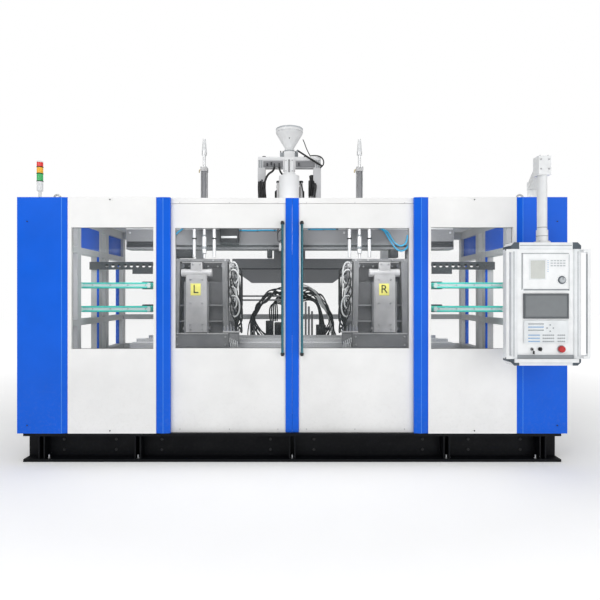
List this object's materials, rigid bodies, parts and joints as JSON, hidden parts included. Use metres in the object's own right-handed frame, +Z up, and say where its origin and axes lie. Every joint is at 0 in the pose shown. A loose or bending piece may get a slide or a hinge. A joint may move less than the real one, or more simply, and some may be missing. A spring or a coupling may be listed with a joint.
{
  "type": "blow moulding machine",
  "caption": "Double-station extrusion blow moulding machine in a framed cabinet with sliding doors, roof hopper and a swinging control pendant.",
  "frame": {"origin": "middle of the underside of the base, on the floor", "axes": "+X to the right along the front, +Y from front to back, +Z up"},
  "size_m": [4.954, 3.093, 3.542],
  "materials": {
    "black_steel": "satin black paint",
    "blue_paint": "gloss blue paint",
    "white_paint": "semi-gloss white paint",
    "grey_paint": "satin grey paint",
    "dark_grey_paint": "satin dark grey paint",
    "clear_sheet": "clear polycarbonate",
    "rail_steel": "ground steel",
    "chrome_bar": "hard chrome",
    "bright_steel": "machined steel",
    "cast_iron": "painted casting",
    "aluminium": "anodised",
    "belt_green": "smooth green belt",
    "hose_rubber": "matte black",
    "light_grey_plastic": "fine texture",
    "red_plastic": "gloss",
    "black_plastic": "matte",
    "lamp_plastic": "translucent gloss"
  },
  "bodies": {
    "machine": {"base_beams": "black_steel", "corner_panels": "blue_paint", "front_panels": "white_paint", "wall_panes": "clear_sheet", "door_posts": "blue_paint", "cabinet_posts": "grey_paint", "cabinet_rails": "grey_paint", "end_panels": "blue_paint", "wall_panels": "white_paint", "door_channels": "white_paint", "cable_trays": "bright_steel", "bed": "grey_paint", "bed_rails": "rail_steel", "carrier_beam": "grey_paint", "extruder_platform": "grey_paint", "die_head": "bright_steel", "extruder_barrel": "bright_steel", "extruder_drive": "grey_paint", "hopper": "bright_steel", "feed_bridge": "grey_paint", "conveyor_frames": "aluminium", "conveyor_belts": "belt_green", "arm_column": "light_grey_plastic", "signal_tower": "lamp_plastic", "blow_cylinder_left": "aluminium", "blow_cylinder_right": "aluminium"},
    "pendant_arm": {"pendant_arm": "aluminium"},
    "pendant": {"pendant_hanger": "aluminium", "pendant_case": "light_grey_plastic"},
    "emergency_stop": {"emergency_stop": "red_plastic"},
    "mode_selector": {"mode_selector": "black_plastic"},
    "extruder_screw": {"extruder_screw": "chrome_bar"},
    "door_left": {"door_left": "white_paint", "door_edge_left": "blue_paint", "door_pane_left": "clear_sheet", "door_handle_left": "bright_steel"},
    "carriage_left": {"carriage_left": "cast_iron", "clamp_frame_left": "cast_iron", "tie_bars_left": "chrome_bar", "rear_yoke_left": "cast_iron", "manifold_left": "bright_steel", "hoses_left": "hose_rubber"},
    "lever_left": {"clamp_lever_left": "cast_iron"},
    "front_platen_left": {"front_platen_left": "cast_iron"},
    "rear_platen_left": {"rear_platen_left": "cast_iron"},
    "blow_pin_left": {"blow_pin_left": "chrome_bar"},
    "door_right": {"door_right": "white_paint", "door_edge_right": "blue_paint", "door_pane_right": "clear_sheet", "door_handle_right": "bright_steel"},
    "carriage_right": {"carriage_right": "cast_iron", "clamp_frame_right": "cast_iron", "tie_bars_right": "chrome_bar", "rear_yoke_right": "cast_iron", "manifold_right": "bright_steel", "hoses_right": "hose_rubber"},
    "lever_right": {"clamp_lever_right": "cast_iron"},
    "front_platen_right": {"front_platen_right": "cast_iron"},
    "rear_platen_right": {"rear_platen_right": "cast_iron"},
    "blow_pin_right": {"blow_pin_right": "chrome_bar"}
  },
  "joints": [
    {"name": "door_left_slide", "type": "slide", "parent": "machine", "child": "door_left", "axis": [-1, 0, 0], "range_m": [0, 0.98]},
    {"name": "carriage_left_travel", "type": "slide", "parent": "machine", "child": "carriage_left", "axis": [1, 0, 0], "range_m": [0, 0.936]},
    {"name": "clamp_left_close", "type": "slide", "parent": "carriage_left", "child": "front_platen_left", "axis": [0, 1, 0], "range_m": [0, 0.15]},
    {"name": "rear_platen_left_close", "type": "slide", "parent": "carriage_left", "child": "rear_platen_left", "axis": [0, -1, 0], "range_m": [0, 0.15]},
    {"name": "lever_left_rock", "type": "hinge", "parent": "carriage_left", "child": "lever_left", "pos_m": [-0.984, -0.665, 1.156], "axis": [-1, 0, 0], "range_deg": [0, 8.1]},
    {"name": "blow_pin_left_drop", "type": "slide", "parent": "machine", "child": "blow_pin_left", "axis": [0, 0, -1], "range_m": [0, 0.12]},
    {"name": "door_right_slide", "type": "slide", "parent": "machine", "child": "door_right", "axis": [1, 0, 0], "range_m": [0, 0.98]},
    {"name": "carriage_right_travel", "type": "slide", "parent": "machine", "child": "carriage_right", "axis": [1, 0, 0], "range_m": [-0.902, 0]},
    {"name": "clamp_right_close", "type": "slide", "parent": "carriage_right", "child": "front_platen_right", "axis": [0, 1, 0], "range_m": [0, 0.15]},
    {"name": "rear_platen_right_close", "type": "slide", "parent": "carriage_right", "child": "rear_platen_right", "axis": [0, -1, 0], "range_m": [0, 0.15]},
    {"name": "lever_right_rock", "type": "hinge", "parent": "carriage_right", "child": "lever_right", "pos_m": [0.95, -0.665, 1.156], "axis": [-1, 0, 0], "range_deg": [0, 8.1]},
    {"name": "blow_pin_right_drop", "type": "slide", "parent": "machine", "child": "blow_pin_right", "axis": [0, 0, -1], "range_m": [0, 0.12]},
    {"name": "screw_turn", "type": "hinge", "parent": "machine", "child": "extruder_screw", "pos_m": [-0.034, 0.35, 2.7], "axis": [0, 1, 0], "continuous": true},
    {"name": "arm_swing", "type": "hinge", "parent": "machine", "child": "pendant_arm", "pos_m": [2.424, -0.783, 2.6], "axis": [0, 0, 1], "range_deg": [0, 90]},
    {"name": "pendant_turn", "type": "hinge", "parent": "pendant_arm", "child": "pendant", "pos_m": [2.118, -1.62, 2.3], "axis": [0, 0, 1], "range_deg": [-30, 30]},
    {"name": "emergency_stop_press", "type": "slide", "parent": "pendant", "child": "emergency_stop", "axis": [0, 1, 0], "range_m": [0, 0.006], "stiffness_N_per_m": 900},
    {"name": "mode_selector_turn", "type": "hinge", "parent": "pendant", "child": "mode_selector", "pos_m": [2.066, -1.68, 1.052], "axis": [0, 1, 0], "range_deg": [-45, 45]}
  ],
  "couplings": [
    {"joint": "rear_platen_left_close", "follows": "clamp_left_close", "ratio": 1},
    {"joint": "lever_left_rock", "follows": "clamp_left_close", "rad_per_m": 0.93},
    {"joint": "rear_platen_right_close", "follows": "clamp_right_close", "ratio": 1},
    {"joint": "lever_right_rock", "follows": "clamp_right_close", "rad_per_m": 0.93}
  ]
}
